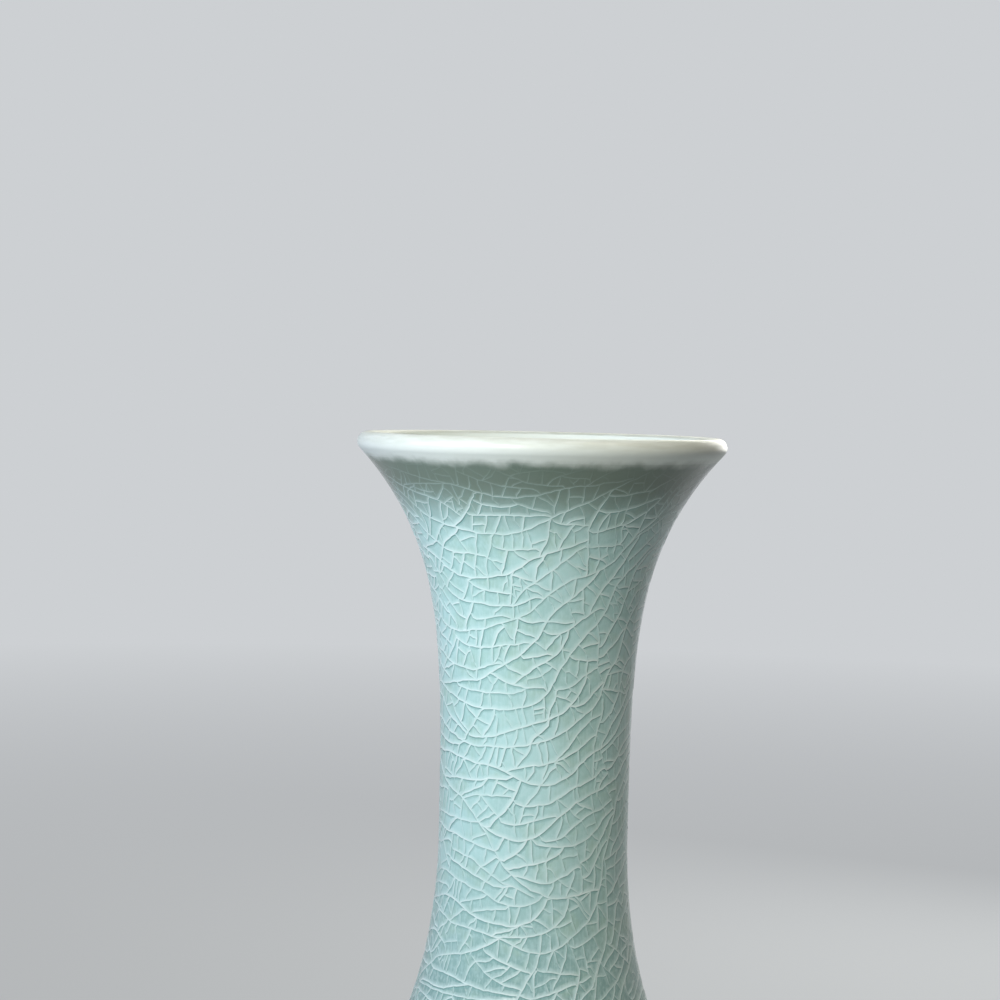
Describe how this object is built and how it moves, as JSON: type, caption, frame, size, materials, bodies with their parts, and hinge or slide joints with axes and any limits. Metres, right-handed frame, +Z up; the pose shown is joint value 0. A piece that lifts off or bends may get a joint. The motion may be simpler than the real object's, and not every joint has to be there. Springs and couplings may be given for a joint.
{
  "type": "celadon bottle vase",
  "caption": "Pear-shaped bottle vase with a long neck, rolled trumpet lip and bare foot ring, in celadon stoneware with a crackled glaze; holds water and flower stems.",
  "frame": {"origin": "centre of the foot ring's resting face", "axes": "+Z up along the axis the vase was turned on, towards the mouth; X and Y level, with nothing to tell one from the other"},
  "size_m": [0.161, 0.161, 0.31],
  "materials": {
    "stoneware": "bare fired buff stoneware, dry and matt",
    "slip_clay": "fired clay slip in a luted joint, matt",
    "celadon_glaze": "glossy blue-green celadon with a network of fine cracks",
    "pale_lip_glaze": "glossy celadon worn thin and nearly white over the lip"
  },
  "bodies": {
    "root": {"thrown_bowl": "stoneware", "thrown_shoulder": "stoneware", "thrown_neck": "stoneware", "belly_slip_joint": "slip_clay", "neck_slip_joint": "slip_clay", "outer_glaze": "celadon_glaze", "lip_glaze": "pale_lip_glaze", "inner_glaze": "celadon_glaze", "base_glaze": "celadon_glaze"}
  },
  "joints": []
}
